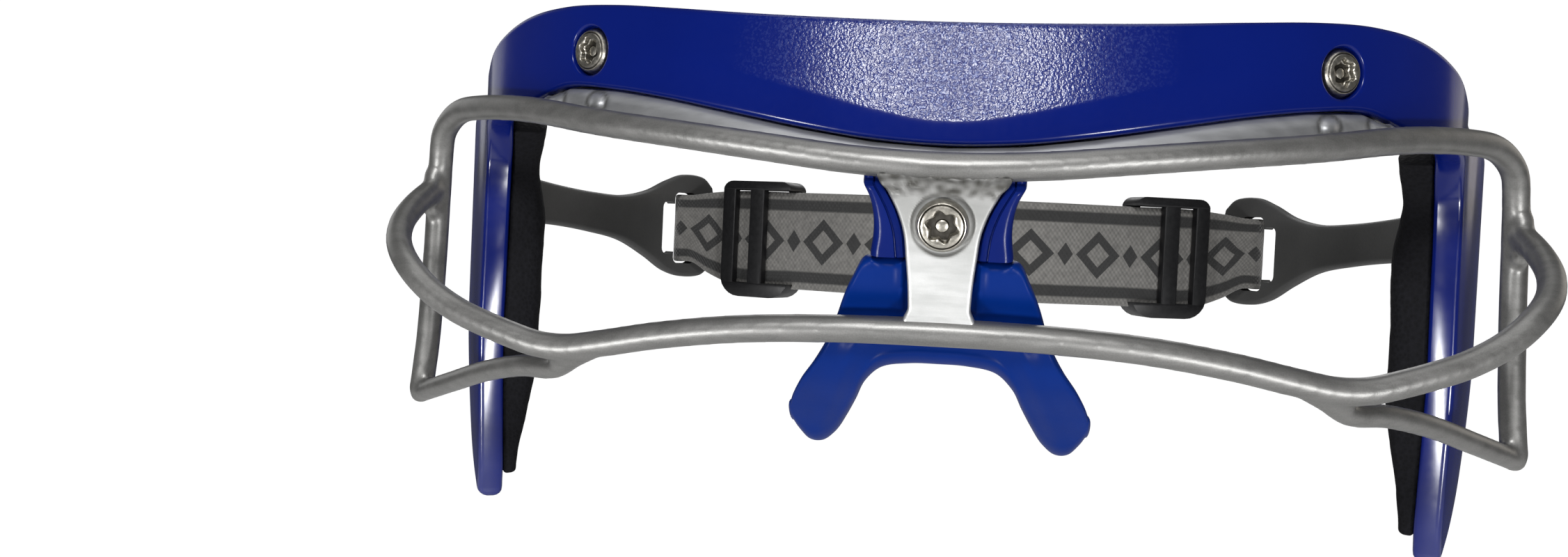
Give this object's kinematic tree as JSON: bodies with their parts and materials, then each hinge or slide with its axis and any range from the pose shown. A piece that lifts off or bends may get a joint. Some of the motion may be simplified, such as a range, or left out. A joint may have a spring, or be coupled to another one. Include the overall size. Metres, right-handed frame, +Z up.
{
  "type": "protective goggles",
  "caption": "Wire-cage eye guard with a blue wrap-around brow shell, foam pads, a clip-on nose pad, hinged strap arms and an adjustable webbing head strap.",
  "frame": {"origin": "middle of the nose saddle, on the underside of the nose pad, where the goggles rest on the wearer's nose", "axes": "+X to the right as seen from the front, +Y from the cage towards the wearer and the head strap, +Z up"},
  "size_m": [0.1762, 0.1303, 0.0795],
  "materials": {
    "shell_plastic": "blue moulded plastic, pebbled on the brow's upper facet and glossy elsewhere",
    "cage_metal": "satin silver-grey coating",
    "silicone": "satin blue silicone",
    "steel": "plain stainless",
    "foam": "black closed-cell foam",
    "arm_plastic": "dark grey elastomer",
    "webbing": "grey woven webbing with dark border lines",
    "slider_plastic": "black moulded plastic"
  },
  "bodies": {
    "frame": {"frame_shell": "shell_plastic", "upper_wire": "cage_metal", "lower_wire": "cage_metal", "left_strut": "cage_metal", "right_strut": "cage_metal", "brow_flange": "cage_metal", "nose_plate": "cage_metal", "nose_bracket": "shell_plastic", "nose_pad": "silicone", "nose_screw": "steel", "nose_nut": "steel", "left_brow_screw": "steel", "right_brow_screw": "steel", "left_brow_nut": "steel", "right_brow_nut": "steel", "brow_pad": "foam", "left_side_pad": "foam", "right_side_pad": "foam", "left_arm_pin": "steel", "right_arm_pin": "steel"},
    "left_arm": {"left_arm": "arm_plastic"},
    "right_arm": {"right_arm": "arm_plastic"},
    "strap": {"strap_webbing": "webbing", "left_strap_tail": "webbing", "right_strap_tail": "webbing"},
    "left_slider": {"left_slider": "slider_plastic"},
    "right_slider": {"right_slider": "slider_plastic"}
  },
  "joints": [
    {"name": "left_arm_hinge", "type": "hinge", "parent": "frame", "child": "left_arm", "pos_m": [-0.0826, 0.0584, 0.0218], "axis": [0, 0, 1], "range_deg": [-8, 8]},
    {"name": "right_arm_hinge", "type": "hinge", "parent": "frame", "child": "right_arm", "pos_m": [0.0826, 0.0584, 0.0218], "axis": [0, 0, 1], "range_deg": [-8, 8]},
    {"name": "strap_pivot", "type": "hinge", "parent": "left_arm", "child": "strap", "pos_m": [-0.05687, 0.11098, 0.0174], "axis": [0, 0, 1], "range_deg": [-12, 12]},
    {"name": "left_slider_slide", "type": "slide", "parent": "strap", "child": "left_slider", "axis": [-0.9275, 0.3738, 0], "range_m": [-0.012, 0.0025], "deforming": ["left_strap_tail"]},
    {"name": "right_slider_slide", "type": "slide", "parent": "strap", "child": "right_slider", "axis": [0.9275, 0.3738, 0], "range_m": [-0.012, 0.0025], "deforming": ["right_strap_tail"]}
  ],
  "couplings": [
    {"joint": "right_arm_hinge", "follows": "left_arm_hinge", "ratio": 1},
    {"joint": "strap_pivot", "follows": "left_arm_hinge", "ratio": -1.4524}
  ]
}
